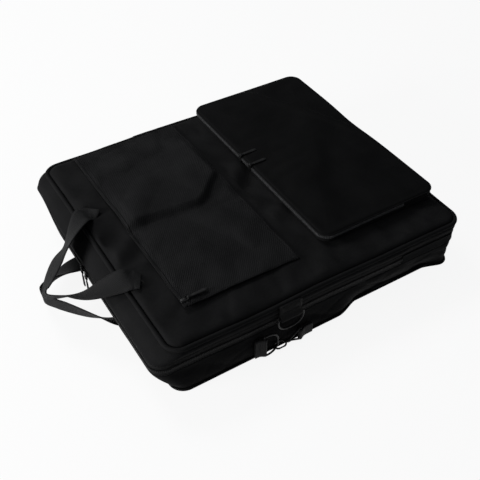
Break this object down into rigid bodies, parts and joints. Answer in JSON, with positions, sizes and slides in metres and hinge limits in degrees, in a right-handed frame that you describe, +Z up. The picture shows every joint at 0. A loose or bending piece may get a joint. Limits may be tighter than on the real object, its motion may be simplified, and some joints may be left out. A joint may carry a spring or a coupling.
{
  "type": "portfolio case",
  "caption": "Soft padded case for flat artwork, with a zipped gusset, a raised zipped pocket, a flat patch pocket, webbing carry handles and rings for a shoulder strap.",
  "frame": {"origin": "centre of the back panel's outer face, on the floor that the case lies on", "axes": "+Z up out of the front cover, +X from the handle edge to the base edge, +Y from the side with the clipped strap end to the other side"},
  "size_m": [0.6296, 0.5005, 0.1244],
  "materials": {
    "panel_fabric": "matt black coated polyester",
    "pocket_fabric": "coarse black woven nylon",
    "piping": "black bound piping",
    "zip_tape": "black woven zip tape",
    "zip_chain": "black coil zip",
    "board": "black stiffener board",
    "webbing": "black ribbed webbing",
    "dark_metal": "black painted steel",
    "slider_metal": "black painted zinc",
    "pull": "black moulded pull"
  },
  "bodies": {
    "case": {"back_panel": "panel_fabric", "back_board": "board", "back_piping": "piping", "lower_gusset": "panel_fabric", "lower_zip_band": "zip_tape", "lower_zip_chain": "zip_chain", "retaining_band_1": "webbing", "retaining_band_2": "webbing", "back_handle_anchor_near": "webbing", "back_handle_anchor_far": "webbing", "back_tab_near": "webbing", "back_tab_far": "webbing", "strap_end_web": "webbing", "snap_eye": "dark_metal"},
    "cover": {"front_panel": "panel_fabric", "front_board": "board", "front_piping": "piping", "upper_gusset": "panel_fabric", "upper_zip_band": "zip_tape", "upper_zip_chain": "zip_chain", "flat_pocket_gusset": "panel_fabric", "flat_pocket": "pocket_fabric", "flat_pocket_zip": "zip_tape", "box_pocket_wall": "panel_fabric", "box_zip_lower": "zip_tape", "front_handle_anchor_near": "webbing", "front_handle_anchor_far": "webbing", "front_tab_near": "webbing", "front_tab_far": "webbing"},
    "box_lid": {"box_pocket_lid": "panel_fabric", "box_zip_upper": "zip_tape"},
    "front_handle": {"front_handle": "webbing"},
    "back_handle": {"back_handle": "webbing"},
    "snap_hook": {"snap_hook": "dark_metal"},
    "snap_gate": {"snap_gate": "dark_metal"},
    "front_ring_near": {"front_ring_near": "dark_metal"},
    "front_ring_far": {"front_ring_far": "dark_metal"},
    "back_ring_near": {"back_ring_near": "dark_metal"},
    "back_ring_far": {"back_ring_far": "dark_metal"},
    "box_slider_near": {"box_slider_near": "slider_metal"},
    "box_slider_far": {"box_slider_far": "slider_metal"},
    "box_pull_near": {"box_pull_near": "pull"},
    "box_pull_far": {"box_pull_far": "pull"},
    "main_slider_near": {"main_slider_near": "slider_metal"},
    "main_slider_far": {"main_slider_far": "slider_metal"},
    "main_pull_near": {"main_pull_near": "pull"},
    "main_pull_far": {"main_pull_far": "pull"},
    "flat_pocket_slider": {"flat_pocket_slider": "slider_metal"},
    "flat_pocket_pull": {"flat_pocket_pull": "pull"}
  },
  "joints": [
    {"name": "cover_open", "type": "hinge", "parent": "case", "child": "cover", "pos_m": [0.262, 0, 0.065], "axis": [0, 1, 0], "range_deg": [0, 70]},
    {"name": "box_lid_open", "type": "hinge", "parent": "cover", "child": "box_lid", "pos_m": [0.256, 0.027, 0.11535], "axis": [0, 1, 0], "range_deg": [0, 110]},
    {"name": "front_handle_swing", "type": "hinge", "parent": "cover", "child": "front_handle", "pos_m": [-0.2599, 0, 0.1046], "axis": [0, 1, 0], "range_deg": [0, 125]},
    {"name": "back_handle_swing", "type": "hinge", "parent": "case", "child": "back_handle", "pos_m": [-0.2663, 0, 0.0066], "axis": [0, 1, 0], "range_deg": [-80, 4]},
    {"name": "front_ring_near_swing", "type": "hinge", "parent": "cover", "child": "front_ring_near", "pos_m": [-0.072, -0.24445, 0.068], "axis": [-1, 0, 0], "range_deg": [0, 150]},
    {"name": "front_ring_far_swing", "type": "hinge", "parent": "cover", "child": "front_ring_far", "pos_m": [-0.072, 0.24445, 0.068], "axis": [1, 0, 0], "range_deg": [0, 150]},
    {"name": "back_ring_near_swing", "type": "hinge", "parent": "case", "child": "back_ring_near", "pos_m": [-0.1175, -0.24445, 0.024], "axis": [0, 0, 1], "range_deg": [-4, 4]},
    {"name": "back_ring_far_swing", "type": "hinge", "parent": "case", "child": "back_ring_far", "pos_m": [-0.1175, 0.24445, 0.024], "axis": [0, 0, 1], "range_deg": [0, 120]},
    {"name": "snap_hook_swivel", "type": "hinge", "parent": "case", "child": "snap_hook", "pos_m": [-0.074, -0.24445, 0.012], "axis": [1, 0, 0], "range_deg": [-10, 10]},
    {"name": "snap_gate_open", "type": "hinge", "parent": "snap_hook", "child": "snap_gate", "pos_m": [-0.08578, -0.25045, 0.012], "axis": [0, 0, -1], "range_deg": [0, 16], "stiffness_Nm_per_rad": 0.02},
    {"name": "box_slider_near_slide", "type": "slide", "parent": "box_lid", "child": "box_slider_near", "axis": [0, 1, 0], "range_m": [-0.16, 0]},
    {"name": "box_slider_far_slide", "type": "slide", "parent": "box_lid", "child": "box_slider_far", "axis": [0, 1, 0], "range_m": [0, 0.13]},
    {"name": "box_pull_near_swing", "type": "hinge", "parent": "box_slider_near", "child": "box_pull_near", "pos_m": [0.0284, 0.031, 0.1225], "axis": [0, -1, 0], "range_deg": [0, 180]},
    {"name": "box_pull_far_swing", "type": "hinge", "parent": "box_slider_far", "child": "box_pull_far", "pos_m": [0.0284, 0.062, 0.1225], "axis": [0, -1, 0], "range_deg": [0, 180]},
    {"name": "main_slider_near_slide", "type": "slide", "parent": "case", "child": "main_slider_near", "axis": [0, 1, 0], "range_m": [-0.17, 0]},
    {"name": "main_slider_far_slide", "type": "slide", "parent": "case", "child": "main_slider_far", "axis": [0, 1, 0], "range_m": [0, 0.17]},
    {"name": "main_pull_near_swing", "type": "hinge", "parent": "main_slider_near", "child": "main_pull_near", "pos_m": [-0.2954, -0.008, 0.05755], "axis": [0, 1, 0], "range_deg": [0, 80]},
    {"name": "main_pull_far_swing", "type": "hinge", "parent": "main_slider_far", "child": "main_pull_far", "pos_m": [-0.2954, 0.008, 0.05755], "axis": [0, 1, 0], "range_deg": [0, 80]},
    {"name": "flat_pocket_slider_slide", "type": "slide", "parent": "cover", "child": "flat_pocket_slider", "axis": [0, 1, 0], "range_m": [0, 0.38]},
    {"name": "flat_pocket_pull_swing", "type": "hinge", "parent": "flat_pocket_slider", "child": "flat_pocket_pull", "pos_m": [-0.20055, -0.17, 0.1127], "axis": [0, -1, 0], "range_deg": [0, 170]}
  ]
}
